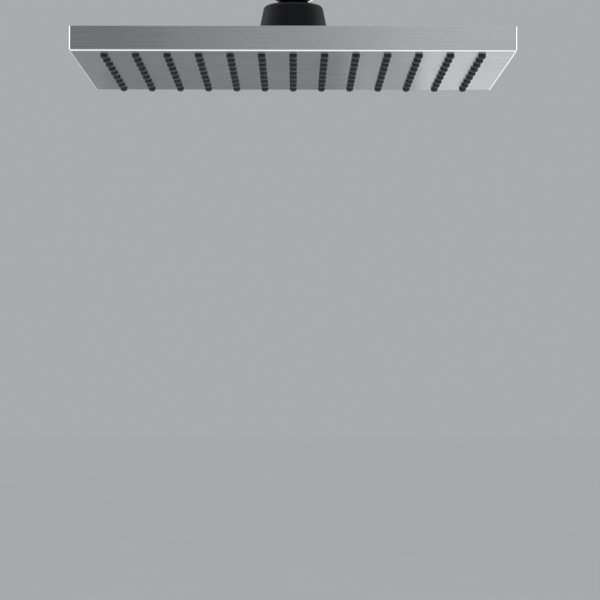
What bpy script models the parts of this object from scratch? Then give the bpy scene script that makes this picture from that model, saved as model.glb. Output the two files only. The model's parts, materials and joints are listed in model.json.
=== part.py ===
"""Rectangular overhead rain shower head on a ball swivel, with its threaded inlet nut.

Metres, +Z up. The origin is the centre of the inlet nut's mouth, where the shower arm's
thread enters, and the head hangs below it. +X runs along the head's long side and the
head's front faces -Y.
"""

import math

import bmesh
import bpy
from mathutils import Matrix

# ---- Driving dimensions --------------------------------------------------------------

HEAD_LENGTH = 0.300
HEAD_WIDTH = 0.200
HEAD_THICKNESS = 0.017
CORNER_RADIUS = 0.0015

NOZZLES_LONG = 13
NOZZLES_WIDE = 9
NOZZLE_PITCH = 0.02125
NOZZLE_RADIUS = 0.0026
NOZZLE_TIP_RADIUS = 0.0016
NOZZLE_REACH = 0.0032
ORIFICE_RADIUS = 0.0008
NOZZLE_SIDES = 6
ORIFICE_SIDES = 4

BALL_RADIUS = 0.0155
WATERWAY_RADIUS = 0.0055
THROAT_RADIUS = 0.008
NUT_HEIGHT = 0.017
NUT_ACROSS_FLATS = 0.0285
NUT_TOP_RADIUS = 0.0138
NUT_BOTTOM_RADIUS = 0.011
NUT_TAPER = math.radians(28)
THREAD_RADIUS = 0.00935
THREAD_DEPTH = 0.012
TILT_ROOM = 0.003
COLLAR_RISE = 0.0086
COLLAR_HEIGHT = 0.0301
COLLAR_BASE_RADIUS = 0.0266
COLLAR_TOP_RADIUS = 0.0213
COLLAR_ROUNDING = 0.003

REST_GAP = 0.0002
RUNNING_GAP = 0.0003
ROUND_SIDES = 28

# ---- Heights worked out from them ----------------------------------------------------

NUT_BOTTOM = -NUT_HEIGHT
COLLAR_TOP = NUT_BOTTOM - TILT_ROOM
BALL_Z = COLLAR_TOP - COLLAR_RISE
HEAD_TOP = COLLAR_TOP - COLLAR_HEIGHT
SPRAY_FACE = HEAD_TOP - HEAD_THICKNESS

# ---- Shell, cover and water chamber --------------------------------------------------

SPRAY_THICKNESS = 0.0013
WALL = 0.002
RIM = 0.0012
COVER_THICKNESS = 0.0016
COVER_SIDE_GAP = 0.00025
COVER_BOTTOM = HEAD_TOP - COVER_THICKNESS
SHELL_FLOOR = SPRAY_FACE + SPRAY_THICKNESS
HOLE_RADIUS = NOZZLE_RADIUS + 0.0004

MAT_THICKNESS = 0.0014
MAT_BOTTOM = SHELL_FLOOR + REST_GAP
MAT_TOP = MAT_BOTTOM + MAT_THICKNESS
MAT_INSET = 0.009

FLANGE_BOTTOM = MAT_TOP + REST_GAP
FLANGE_TOP = FLANGE_BOTTOM + 0.0035
FLANGE_INSET = 0.003
LID_INSET = 0.0105
LID_WALL = 0.002
CHAMBER_INSET = 0.013
LID_TOP = COVER_BOTTOM - 0.004
CHAMBER_TOP = LID_TOP - LID_WALL
RIB_TOP = COVER_BOTTOM - 0.0008
RIB_THICKNESS = 0.0016
BOSS_DEPTH = 0.0034

GASKET_INSET = 0.0106
GASKET_RADIUS = 0.0008
GASKET_CORNER = 0.004
GROOVE_HALF_WIDTH = 0.00115
GROOVE_DEPTH = 0.0016

DEFLECTOR_RADIUS = 0.0175
DEFLECTOR_DROP = 0.0042
DEFLECTOR_THICKNESS = 0.0012
LEG_CIRCLE = 0.0125
LEG_RADIUS = 0.0012

POST_INSET = 0.0061
POST_RADIUS = 0.0026
POST_BORE = 0.0013
POSTS_LONG = (-0.132, -0.044, 0.044, 0.132)
POSTS_WIDE = (-0.045, 0.045)

# ---- Ball socket and swivel ----------------------------------------------------------

BORE_SPHERE = BALL_RADIUS + RUNNING_GAP
SEAT_THICKNESS = 0.0012
SEAT_SPHERE = BORE_SPHERE + SEAT_THICKNESS
CUP_SPHERE = SEAT_SPHERE + RUNNING_GAP
UPPER_SEAT = (math.radians(66), math.radians(86))
LOWER_SEAT = (math.radians(98), math.radians(122))
LIP_ANGLE = math.radians(63.3)
CUP_END = math.radians(133.5)
BALL_SEAL_ANGLE = math.radians(141)
BALL_SEAL_SECTION = 0.0012
SEAL_BORE = 0.012
SEAL_FLOOR = BALL_Z - 0.0146

BOSS_RADIUS = 0.0206
BOSS_TOP = BALL_Z - 0.002
SOCKET_FLANGE_RADIUS = 0.031
SOCKET_FLANGE_TOP = COVER_BOTTOM - REST_GAP
SOCKET_BOTTOM = LID_TOP + 0.0004
FACE_SEAL_RADIUS = 0.0113
FACE_SEAL_SECTION = 0.0008
SOCKET_SCREW_CIRCLE = 0.026
SOCKET_SCREW_HEAD = 0.0016

WASHER_THICKNESS = 0.0006
WASHER_BOTTOM = HEAD_TOP + REST_GAP
COLLAR_BOTTOM = WASHER_BOTTOM + WASHER_THICKNESS + REST_GAP
COLLAR_BORE = BOSS_RADIUS + 0.00025
COLLAR_STEP = BOSS_TOP + 0.0005

# ---- Inlet ---------------------------------------------------------------------------

POCKET_RADIUS = 0.0068
POCKET_DEPTH = 0.0045
SOCKET_FACE = -THREAD_DEPTH
SCREEN_THICKNESS = 0.0006
INLET_WASHER_THICKNESS = 0.002


# ---- Scene and shape helpers ---------------------------------------------------------

def clear_scene():
    for obj in list(bpy.data.objects):
        bpy.data.objects.remove(obj)


def new_collection(name):
    collection = bpy.data.collections.new(name)
    bpy.context.scene.collection.children.link(collection)
    return collection


def new_material(name, colour, roughness, metallic):
    material = bpy.data.materials.new(name)
    material.use_nodes = True
    shader = material.node_tree.nodes["Principled BSDF"]
    shader.inputs["Base Color"].default_value = (*colour, 1)
    shader.inputs["Roughness"].default_value = roughness
    shader.inputs["Metallic"].default_value = metallic
    return material


clear_scene()
PARTS = new_collection("rain_shower_head")
CUTTERS = new_collection("cutters")

BRUSHED_STEEL = new_material("brushed_steel", (0.56, 0.57, 0.58), 0.32, 1.0)
BLACK_SILICONE = new_material("black_silicone", (0.02, 0.021, 0.022), 0.6, 0.0)
BLACK_RUBBER = new_material("black_rubber", (0.03, 0.03, 0.03), 0.7, 0.0)
BLACK_PLASTIC = new_material("black_plastic", (0.012, 0.012, 0.013), 0.38, 0.0)
BLACK_PLATING = new_material("black_plating", (0.03, 0.03, 0.032), 0.16, 1.0)
CHAMBER_PLASTIC = new_material("chamber_plastic", (0.35, 0.36, 0.37), 0.5, 0.0)
BRASS = new_material("brass", (0.72, 0.56, 0.27), 0.3, 1.0)
SEAT_PLASTIC = new_material("seat_plastic", (0.86, 0.86, 0.84), 0.4, 0.0)
SCREW_STEEL = new_material("screw_steel", (0.62, 0.62, 0.63), 0.28, 1.0)
REGULATOR_PLASTIC = new_material("regulator_plastic", (0.1, 0.42, 0.2), 0.45, 0.0)


def add_object(name, data, material=None):
    """Links a part, or a cutter where it has no material."""
    obj = bpy.data.objects.new(name, data)
    if material is None:
        CUTTERS.objects.link(obj)
        obj.hide_render = True
        obj.display_type = "WIRE"
    else:
        PARTS.objects.link(obj)
        data.materials.append(material)
    return obj


def mesh_from(name, build):
    """A mesh filled by build(bm)."""
    mesh = bpy.data.meshes.new(name)
    bm = bmesh.new()
    build(bm)
    bm.to_mesh(mesh)
    bm.free()
    return mesh


def add_block(bm, half_x, half_y, bottom, top, centre=(0, 0)):
    size = Matrix.Diagonal((2 * half_x, 2 * half_y, top - bottom, 1))
    place = Matrix.Translation((centre[0], centre[1], (bottom + top) / 2))
    return bmesh.ops.create_cube(bm, size=1, matrix=place @ size)["verts"]


def add_prism(bm, radius_bottom, radius_top, bottom, top, sides, centre=(0, 0)):
    place = Matrix.Translation((centre[0], centre[1], (bottom + top) / 2))
    bmesh.ops.create_cone(
        bm, cap_ends=True, segments=sides, radius1=radius_bottom, radius2=radius_top,
        depth=top - bottom, matrix=place,
    )


def is_vertical(edge):
    a, b = (v.co for v in edge.verts)
    return abs(a.z - b.z) > 1e-6


def round_edges(bm, chosen, radius, segments):
    edges = [edge for edge in bm.edges if chosen(edge)]
    bmesh.ops.bevel(
        bm, geom=edges, offset=radius, segments=segments, profile=0.5, affect="EDGES"
    )


def block(name, inset, bottom, top, material=None, corner=0.0):
    """A block as large as the head less inset on each side, with rounded upright corners."""
    def build(bm):
        add_block(bm, HEAD_LENGTH / 2 - inset, HEAD_WIDTH / 2 - inset, bottom, top)
        if corner:
            round_edges(bm, is_vertical, corner, 3)
    return add_object(name, mesh_from(name, build), material)


def prisms(name, centres, radius, bottom, top, sides, material=None, radius_top=None):
    """Equal prisms or tapered prisms at several places, in one mesh."""
    radius_top = radius if radius_top is None else radius_top
    def build(bm):
        for centre in centres:
            add_prism(bm, radius, radius_top, bottom, top, sides, centre)
    return add_object(name, mesh_from(name, build), material)


def turned(name, profile, material=None, sides=ROUND_SIDES):
    """A body turned about Z from a closed outline of (radius, height), outer side first, downwards."""
    mesh = bpy.data.meshes.new(name)
    points = [(radius, 0, height) for radius, height in profile]
    edges = [(i, (i + 1) % len(points)) for i in range(len(points))]
    mesh.from_pydata(points, edges, [])
    obj = add_object(name, mesh, material)
    screw = obj.modifiers.new("turn", "SCREW")
    screw.steps = sides
    screw.render_steps = sides
    screw.use_merge_vertices = True
    screw.merge_threshold = 0.00001
    screw.use_normal_calculate = False
    return obj


def torus(name, major, minor, height, material):
    bpy.ops.mesh.primitive_torus_add(
        major_radius=major, minor_radius=minor, major_segments=24, minor_segments=6,
        location=(0, 0, height),
    )
    obj = bpy.context.object
    obj.name = name
    obj.data.materials.append(material)
    for collection in obj.users_collection:
        collection.objects.unlink(obj)
    PARTS.objects.link(obj)
    return obj


def combine(obj, operation, *others):
    """Cuts the others from obj, joins them to it, or keeps what they share."""
    for other in others:
        modifier = obj.modifiers.new(other.name, "BOOLEAN")
        modifier.operation = operation
        modifier.solver = "EXACT"
        modifier.object = other
    return obj


def arc(radius, centre_z, start, end, steps, centre_r=0.0):
    """Points of an arc in the turning plane, angles in radians from straight up towards +X."""
    angles = [start + (end - start) * i / steps for i in range(steps + 1)]
    return [
        (centre_r + radius * math.sin(a), centre_z + radius * math.cos(a)) for a in angles
    ]


def ring_of(count, radius, start=0.0):
    """Places of count equal pieces round a circle."""
    turns = [start + 2 * math.pi * i / count for i in range(count)]
    return [(radius * math.cos(a), radius * math.sin(a)) for a in turns]


def nozzle_places():
    xs = [(i - (NOZZLES_LONG - 1) / 2) * NOZZLE_PITCH for i in range(NOZZLES_LONG)]
    ys = [(j - (NOZZLES_WIDE - 1) / 2) * NOZZLE_PITCH for j in range(NOZZLES_WIDE)]
    return [(x, y) for x in xs for y in ys]


def socket_screw_places():
    return ring_of(4, SOCKET_SCREW_CIRCLE, math.radians(45))


def post_places():
    """Screw posts along both long sides and both short sides, just inside the walls."""
    post_x = HEAD_LENGTH / 2 - POST_INSET
    post_y = HEAD_WIDTH / 2 - POST_INSET
    long_sides = [(x, side * post_y) for side in (-1, 1) for x in POSTS_LONG]
    short_sides = [(side * post_x, y) for side in (-1, 1) for y in POSTS_WIDE]
    return long_sides + short_sides


# ---- The head's outside --------------------------------------------------------------

def make_lower_shell():
    """One pan: the spray face with its nozzle holes, the four side walls and the screw posts."""
    def build(bm):
        add_block(bm, HEAD_LENGTH / 2, HEAD_WIDTH / 2, SPRAY_FACE, HEAD_TOP)

        def below_the_rim(edge):
            return any(v.co.z < HEAD_TOP - 1e-6 for v in edge.verts)

        round_edges(bm, below_the_rim, CORNER_RADIUS, 2)

    shell = add_object("lower_shell", mesh_from("lower_shell", build), BRUSHED_STEEL)
    cavity = block("shell_cavity", WALL, SHELL_FLOOR, HEAD_TOP + 0.01)
    cover_seat = block("cover_seat", RIM, COVER_BOTTOM - REST_GAP, HEAD_TOP + 0.01)
    posts = prisms(
        "post_bodies", post_places(), POST_RADIUS, SHELL_FLOOR - 0.0005, MAT_TOP, 8
    )
    post_bores = prisms(
        "post_bores", post_places(), POST_BORE, SHELL_FLOOR - 0.0006, MAT_TOP + 0.001, 6
    )
    holes = prisms(
        "nozzle_holes", nozzle_places(), HOLE_RADIUS, SPRAY_FACE - 0.002,
        SHELL_FLOOR + 0.002, NOZZLE_SIDES,
    )
    combine(shell, "DIFFERENCE", cavity, cover_seat)
    combine(shell, "UNION", posts)
    combine(shell, "DIFFERENCE", post_bores, holes)


def make_top_cover():
    """Flat plate that drops into the shell's rim, with a hole for the socket's boss."""
    cover = block("top_cover", RIM + COVER_SIDE_GAP, COVER_BOTTOM, HEAD_TOP, BRUSHED_STEEL)
    hole = prisms(
        "cover_hole", [(0, 0)], BOSS_RADIUS + 0.0004, COVER_BOTTOM - 0.002, HEAD_TOP + 0.002,
        ROUND_SIDES,
    )
    combine(cover, "DIFFERENCE", hole)


# ---- The nozzles and the water chamber -----------------------------------------------

def make_nozzle_mat():
    """One moulded silicone mat: a sheet under the chamber with a nozzle in every hole."""
    tip = SPRAY_FACE - NOZZLE_REACH
    mat = block("nozzle_mat", MAT_INSET, MAT_BOTTOM, MAT_TOP, BLACK_SILICONE)
    # The taper starts inside the mat, so that it meets the sheet without a shared face.
    root = MAT_BOTTOM + MAT_THICKNESS / 2
    nozzles = prisms(
        "nozzle_bodies", nozzle_places(), NOZZLE_TIP_RADIUS, tip, root, NOZZLE_SIDES,
        radius_top=NOZZLE_RADIUS,
    )
    orifices = prisms(
        "orifices", nozzle_places(), ORIFICE_RADIUS, tip - 0.001, MAT_TOP + 0.001, ORIFICE_SIDES
    )
    combine(mat, "UNION", nozzles)
    combine(mat, "DIFFERENCE", orifices)


def make_chamber_lid():
    """Ribbed plastic lid that closes the water space above the mat."""
    lid = block("chamber_lid", FLANGE_INSET, FLANGE_BOTTOM, FLANGE_TOP, CHAMBER_PLASTIC)
    raised = block("lid_raised", LID_INSET, FLANGE_TOP - 0.001, LID_TOP)
    cavity = block("lid_cavity", CHAMBER_INSET, FLANGE_BOTTOM - 0.001, CHAMBER_TOP)
    screw_places = socket_screw_places()
    bosses = prisms(
        "lid_bosses", screw_places, 0.004, CHAMBER_TOP - BOSS_DEPTH, CHAMBER_TOP + 0.0005, 10
    )
    boss_bores = prisms(
        "lid_boss_bores", screw_places, 0.0016, CHAMBER_TOP - BOSS_DEPTH + 0.0008,
        LID_TOP + 0.001, 8,
    )
    throat = prisms(
        "lid_throat", [(0, 0)], THROAT_RADIUS, CHAMBER_TOP - 0.001, LID_TOP + 0.001, ROUND_SIDES
    )
    leg_holes = prisms(
        "leg_holes", ring_of(3, LEG_CIRCLE), LEG_RADIUS + RUNNING_GAP, CHAMBER_TOP - 0.001,
        CHAMBER_TOP + 0.0012, 8,
    )
    flange_holes = prisms(
        "flange_holes", post_places(), POST_BORE + REST_GAP, FLANGE_BOTTOM - 0.001,
        FLANGE_TOP + 0.001, 6,
    )
    groove = block(
        "gasket_groove", GASKET_INSET - GROOVE_HALF_WIDTH, FLANGE_BOTTOM - 0.001,
        FLANGE_BOTTOM + GROOVE_DEPTH, corner=GASKET_CORNER + GROOVE_HALF_WIDTH,
    )
    island = block(
        "groove_island", GASKET_INSET + GROOVE_HALF_WIDTH, FLANGE_BOTTOM - 0.002,
        FLANGE_BOTTOM + 0.003, corner=GASKET_CORNER - GROOVE_HALF_WIDTH,
    )
    combine(groove, "DIFFERENCE", island)
    combine(lid, "UNION", raised, *lid_ribs())
    combine(lid, "DIFFERENCE", cavity)
    combine(lid, "UNION", bosses)
    combine(lid, "DIFFERENCE", boss_bores, throat, leg_holes, flange_holes, groove)


def lid_ribs():
    """Stiffening ribs on the lid's top, clear of the socket's flange in the middle."""
    half_x = HEAD_LENGTH / 2 - LID_INSET - 0.002
    half_y = HEAD_WIDTH / 2 - LID_INSET - 0.002
    half_rib = RIB_THICKNESS / 2
    bottom = LID_TOP - 0.0005
    crossings = (-0.094, -0.047, 0.047, 0.094)
    runs = [("along", half_x, half_rib, (0, y)) for y in (-0.044, 0.044)]
    runs += [("across", half_rib, half_y, (x, 0)) for x in crossings]
    ribs = []
    for number, (kind, reach_x, reach_y, centre) in enumerate(runs):
        def build(bm, reach_x=reach_x, reach_y=reach_y, centre=centre):
            add_block(bm, reach_x, reach_y, bottom, RIB_TOP, centre)
        name = f"rib_{kind}_{number}"
        ribs.append(add_object(name, mesh_from(name, build)))
    return ribs


def make_deflector():
    """Disc under the inlet that spreads the water to the outer nozzles."""
    bottom = CHAMBER_TOP - DEFLECTOR_DROP
    top = bottom + DEFLECTOR_THICKNESS
    disc = prisms("deflector", [(0, 0)], DEFLECTOR_RADIUS, bottom, top, 24, SEAT_PLASTIC)
    legs = prisms(
        "deflector_legs", ring_of(3, LEG_CIRCLE), LEG_RADIUS, top - 0.0004,
        CHAMBER_TOP + 0.001, 8,
    )
    combine(disc, "UNION", legs)


def make_gasket():
    """Loop of rubber cord in the groove round the lid's flange."""
    half_x = HEAD_LENGTH / 2 - GASKET_INSET - GASKET_CORNER
    half_y = HEAD_WIDTH / 2 - GASKET_INSET - GASKET_CORNER
    corner_steps = 3
    points = []
    for quarter, (side_x, side_y) in enumerate(((1, 1), (-1, 1), (-1, -1), (1, -1))):
        for step in range(corner_steps + 1):
            angle = (quarter + step / corner_steps) * math.pi / 2
            points.append(
                (
                    side_x * half_x + GASKET_CORNER * math.cos(angle),
                    side_y * half_y + GASKET_CORNER * math.sin(angle),
                )
            )
    curve = bpy.data.curves.new("chamber_gasket", "CURVE")
    curve.dimensions = "3D"
    curve.bevel_depth = GASKET_RADIUS
    curve.bevel_resolution = 2
    spline = curve.splines.new("POLY")
    spline.points.add(len(points) - 1)
    height = FLANGE_BOTTOM + GASKET_RADIUS - 0.00005
    for point, (x, y) in zip(spline.points, points):
        point.co = (x, y, height, 1)
    spline.use_cyclic_u = True
    add_object("chamber_gasket", curve, BLACK_RUBBER)


# ---- Screws --------------------------------------------------------------------------

def screw_mesh(name, head_radius, head_height, shank_radius, length):
    """Screw turned about Z, the underside of its head at height 0, with a round drive socket."""
    socket_radius = head_radius * 0.45
    profile = [
        (0.0, head_height * 0.4),
        (socket_radius, head_height * 0.4),
        (socket_radius, head_height),
        (head_radius * 0.8, head_height),
        (head_radius, head_height * 0.5),
        (head_radius, 0.0),
        (shank_radius, 0.0),
        (shank_radius, -length),
        (0.0, -length),
    ]

    def build(bm):
        verts = [bm.verts.new((radius, 0, height)) for radius, height in profile]
        edges = [bm.edges.new(pair) for pair in zip(verts, verts[1:])]
        bmesh.ops.spin(
            bm, geom=verts + edges, axis=(0, 0, 1), cent=(0, 0, 0), angle=2 * math.pi,
            steps=8, use_duplicate=False,
        )
        bmesh.ops.remove_doubles(bm, verts=bm.verts, dist=1e-6)
        bmesh.ops.recalc_face_normals(bm, faces=bm.faces)

    mesh = mesh_from(name, build)
    mesh.materials.append(SCREW_STEEL)
    return mesh


def place_screws(name, mesh, places, height):
    """One screw in each place; they share one mesh."""
    for number, (x, y) in enumerate(places, 1):
        screw = bpy.data.objects.new(f"{name}_{number}", mesh)
        screw.location = (x, y, height)
        PARTS.objects.link(screw)


def make_screws():
    lid_screw = screw_mesh("lid_screw", 0.0023, 0.0014, 0.0011, 0.0049)
    place_screws("lid_screw", lid_screw, post_places(), FLANGE_TOP + REST_GAP)
    socket_screw = screw_mesh("socket_screw", 0.0026, SOCKET_SCREW_HEAD, 0.0013, 0.0066)
    head_seat = SOCKET_FLANGE_TOP - SOCKET_SCREW_HEAD - REST_GAP
    place_screws("socket_screw", socket_screw, socket_screw_places(), head_seat)


# ---- Ball socket and swivel ----------------------------------------------------------

def make_socket():
    """Threaded boss with the ball's cup, on a flange that is screwed to the chamber's lid."""
    groove_top = SOCKET_BOTTOM + 0.0013
    groove_half = FACE_SEAL_SECTION + 0.0003
    boss_edge = 0.0005
    profile = [
        (BOSS_RADIUS - boss_edge, BOSS_TOP),
        (BOSS_RADIUS, BOSS_TOP - boss_edge),
        (BOSS_RADIUS, SOCKET_FLANGE_TOP),
        (SOCKET_FLANGE_RADIUS, SOCKET_FLANGE_TOP),
        (SOCKET_FLANGE_RADIUS, SOCKET_BOTTOM),
        (FACE_SEAL_RADIUS + groove_half, SOCKET_BOTTOM),
        (FACE_SEAL_RADIUS + groove_half, groove_top),
        (FACE_SEAL_RADIUS - groove_half, groove_top),
        (FACE_SEAL_RADIUS - groove_half, SOCKET_BOTTOM),
        (THROAT_RADIUS, SOCKET_BOTTOM),
        (THROAT_RADIUS, SEAL_FLOOR),
        (SEAL_BORE, SEAL_FLOOR),
        (SEAL_BORE, BALL_Z + CUP_SPHERE * math.cos(CUP_END)),
        *arc(CUP_SPHERE, BALL_Z, CUP_END, math.acos((BOSS_TOP - BALL_Z) / CUP_SPHERE), 4),
    ]
    socket = turned("ball_socket", profile, BRASS)
    head_seat = SOCKET_FLANGE_TOP - SOCKET_SCREW_HEAD - 2 * REST_GAP
    places = socket_screw_places()
    head_bores = prisms("screw_head_bores", places, 0.0031, head_seat, COVER_BOTTOM, 12)
    shank_bores = prisms(
        "screw_shank_bores", places, 0.0017, SOCKET_BOTTOM - 0.001, head_seat + 0.0005, 8
    )
    combine(socket, "DIFFERENCE", head_bores, shank_bores)


def make_collar():
    """Tapered nut over the boss; its rounded lip keeps the ball in."""
    shoulder = COLLAR_TOP_RADIUS - COLLAR_ROUNDING
    profile = [
        *arc(COLLAR_ROUNDING, COLLAR_TOP - COLLAR_ROUNDING, 0, math.radians(80), 3, shoulder),
        (COLLAR_BASE_RADIUS, COLLAR_BOTTOM + 0.001),
        (COLLAR_BASE_RADIUS - 0.0006, COLLAR_BOTTOM),
        (COLLAR_BORE, COLLAR_BOTTOM),
        (COLLAR_BORE, COLLAR_STEP),
        *arc(
            CUP_SPHERE, BALL_Z, math.acos((COLLAR_STEP - BALL_Z) / CUP_SPHERE), LIP_ANGLE, 3
        ),
        *arc(BORE_SPHERE, BALL_Z, LIP_ANGLE, math.acos(COLLAR_RISE / BORE_SPHERE), 1),
    ]
    turned("swivel_collar", profile, BLACK_PLASTIC)


def make_seat(name, span):
    """Thin ring of bearing plastic, round on both faces, between the ball and its housing."""
    start, end = span
    turned(
        name,
        [*arc(SEAT_SPHERE, BALL_Z, start, end, 3), *arc(BORE_SPHERE, BALL_Z, end, start, 3)],
        SEAT_PLASTIC,
        24,
    )


def make_seals():
    distance = BALL_RADIUS + BALL_SEAL_SECTION + 0.0001
    torus(
        "ball_seal", distance * math.sin(BALL_SEAL_ANGLE), BALL_SEAL_SECTION,
        BALL_Z + distance * math.cos(BALL_SEAL_ANGLE), BLACK_RUBBER,
    )
    torus(
        "socket_face_seal", FACE_SEAL_RADIUS, FACE_SEAL_SECTION,
        LID_TOP + FACE_SEAL_SECTION + 0.00005, BLACK_RUBBER,
    )
    ring("collar_washer", COLLAR_BORE, COLLAR_BASE_RADIUS - 0.0004, WASHER_BOTTOM,
         WASHER_BOTTOM + WASHER_THICKNESS, BLACK_RUBBER)


def ring(name, inner, outer, bottom, top, material):
    """Flat ring of rectangular section."""
    return turned(name, [(outer, top), (outer, bottom), (inner, bottom), (inner, top)], material)


# ---- The inlet: ball nut, washer, screen and flow regulator --------------------------

def make_ball_nut():
    """Hexagon nut with the female inlet thread, in one piece with the hollow ball below it."""
    corner_radius = NUT_ACROSS_FLATS / math.sqrt(3)
    beyond = corner_radius + 0.0001
    top_taper = (beyond - NUT_TOP_RADIUS) * math.tan(NUT_TAPER)
    bottom_taper = (beyond - NUT_BOTTOM_RADIUS) * math.tan(NUT_TAPER)
    nut = prisms("ball_nut", [(0, 0)], corner_radius, NUT_BOTTOM, 0, 6, BLACK_PLATING)
    nut.data.transform(Matrix.Rotation(math.radians(30), 4, "Z"))
    chamfers = turned(
        "nut_chamfers",
        [
            (0.00001, 0.001),
            (NUT_TOP_RADIUS, 0.001),
            (NUT_TOP_RADIUS, 0),
            (beyond, -top_taper),
            (beyond, NUT_BOTTOM + bottom_taper),
            (NUT_BOTTOM_RADIUS, NUT_BOTTOM),
            (NUT_BOTTOM_RADIUS, NUT_BOTTOM - 0.001),
            (0.00001, NUT_BOTTOM - 0.001),
        ],
    )
    top_angle = math.asin(0.008 / BALL_RADIUS)
    ball = turned(
        "ball_body",
        [
            (0.008, BALL_Z + BALL_RADIUS * math.cos(top_angle) + 0.001),
            *arc(BALL_RADIUS, BALL_Z, top_angle, math.radians(159.5), 11),
            (0.004, BALL_Z - 0.0145),
            (0.004, BALL_Z + BALL_RADIUS * math.cos(top_angle) + 0.001),
        ],
    )
    bore = turned(
        "nut_bores",
        [
            (THREAD_RADIUS, 0.001),
            (THREAD_RADIUS, SOCKET_FACE),
            (POCKET_RADIUS, SOCKET_FACE),
            (POCKET_RADIUS, SOCKET_FACE - POCKET_DEPTH),
            (WATERWAY_RADIUS, SOCKET_FACE - POCKET_DEPTH),
            (WATERWAY_RADIUS, BALL_Z - 0.02),
            (0.00001, BALL_Z - 0.02),
            (0.00001, 0.001),
        ],
    )
    combine(nut, "INTERSECT", chamfers)
    combine(nut, "UNION", ball)
    combine(nut, "DIFFERENCE", bore)


def make_inlet_parts():
    """What lies in the nut's bore: flow regulator and its ring, filter screen and washer."""
    top = SOCKET_FACE + 0.0002
    bottom = SOCKET_FACE - POCKET_DEPTH + REST_GAP
    groove_top = bottom + 0.0028
    groove_bottom = bottom + 0.0012
    outer = POCKET_RADIUS - REST_GAP
    regulator = turned(
        "flow_regulator",
        [
            (outer, SOCKET_FACE - REST_GAP),
            (outer, groove_top),
            (outer - 0.0013, groove_top),
            (outer - 0.0013, groove_bottom),
            (outer, groove_bottom),
            (outer, bottom),
            (0.0012, bottom),
            (0.0012, SOCKET_FACE - REST_GAP),
        ],
        REGULATOR_PLASTIC,
        24,
    )
    jets = prisms("regulator_jets", ring_of(6, 0.0031), 0.0007, bottom - 0.001, 0, 4)
    combine(regulator, "DIFFERENCE", jets)
    torus(
        "regulator_ring", outer - 0.0006, 0.00065, (groove_top + groove_bottom) / 2,
        BLACK_RUBBER,
    )
    screen = prisms(
        "filter_screen", [(0, 0)], 0.0089, top, top + SCREEN_THICKNESS, 24, SCREW_STEEL
    )
    openings = prisms(
        "screen_openings", [(0, 0), *ring_of(6, 0.0022), *ring_of(12, 0.0044)], 0.0008,
        top - 0.001, top + 0.002, 4,
    )
    combine(screen, "DIFFERENCE", openings)
    washer_bottom = top + SCREEN_THICKNESS + REST_GAP
    ring("inlet_washer", 0.0058, 0.009, washer_bottom,
         washer_bottom + INLET_WASHER_THICKNESS, BLACK_RUBBER)


# ---- Shading and assembly ------------------------------------------------------------

def shade_round_parts():
    """Smooth shading, with the real edges kept sharp."""
    for obj in PARTS.objects:
        if obj.type == "MESH":
            obj.data.shade_smooth()
            obj.data.set_sharp_from_angle(angle=math.radians(35))


make_ball_nut()
make_inlet_parts()
make_seat("upper_seat", UPPER_SEAT)
make_seat("lower_seat", LOWER_SEAT)
make_socket()
make_seals()
make_collar()
make_top_cover()
make_chamber_lid()
make_gasket()
make_deflector()
make_nozzle_mat()
make_lower_shell()
make_screws()
shade_round_parts()
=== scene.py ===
import json
import math

import bmesh
import bpy
import numpy as np
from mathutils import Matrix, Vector


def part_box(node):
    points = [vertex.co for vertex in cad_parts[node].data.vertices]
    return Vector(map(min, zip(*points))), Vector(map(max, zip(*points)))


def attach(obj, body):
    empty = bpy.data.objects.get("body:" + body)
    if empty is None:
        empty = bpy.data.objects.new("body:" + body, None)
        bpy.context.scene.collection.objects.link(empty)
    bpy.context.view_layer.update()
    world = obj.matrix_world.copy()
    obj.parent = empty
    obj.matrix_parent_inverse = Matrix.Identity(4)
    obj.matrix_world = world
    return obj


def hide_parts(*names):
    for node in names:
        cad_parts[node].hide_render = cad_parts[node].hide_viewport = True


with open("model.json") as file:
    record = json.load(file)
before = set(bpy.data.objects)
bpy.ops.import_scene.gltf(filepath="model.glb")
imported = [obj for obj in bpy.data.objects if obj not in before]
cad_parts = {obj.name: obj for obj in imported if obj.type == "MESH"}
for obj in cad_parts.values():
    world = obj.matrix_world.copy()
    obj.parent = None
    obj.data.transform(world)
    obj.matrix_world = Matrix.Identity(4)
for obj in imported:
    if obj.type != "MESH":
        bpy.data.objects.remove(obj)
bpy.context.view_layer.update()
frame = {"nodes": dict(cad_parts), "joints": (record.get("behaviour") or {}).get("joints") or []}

# ---- Ball nut ------------------------------------------------------------------------
# Hexagon nut with a half-inch female pipe thread, turned in one piece with the hollow ball
# that the head hangs on. Brass with a black plating.

NUT_ACROSS_FLATS = 0.0285
NUT_TOP_RADIUS = 0.0138
NUT_BOTTOM_RADIUS = 0.011
NUT_TAPER = math.radians(28)
NUT_CORNER_ROUNDING = 0.0006
NUT_EDGE_ROUNDING = 0.00025
NUT_HEIGHT = 0.017
BALL_RADIUS = 0.0155
BALL_Z = frame["joints"][0]["pos_m"][2]
BALL_END_ANGLE = 159.2
WATERWAY_RADIUS = 0.0055
WATERWAY_MOUTH = 0.0142
POCKET_RADIUS = 0.0068
POCKET_FLOOR = -0.0165
THREAD_MINOR = 0.00935
THREAD_MAJOR = 0.01048
THREAD_PITCH = 0.001814
THREAD_DEPTH = 0.012
THREAD_RUN_OUT = 0.0015
THREAD_END_GAP = 0.0002
MOUTH_RADIUS = THREAD_MAJOR + 0.0003
MOUTH_DEPTH = 0.0008
WELD = 1e-6


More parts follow.
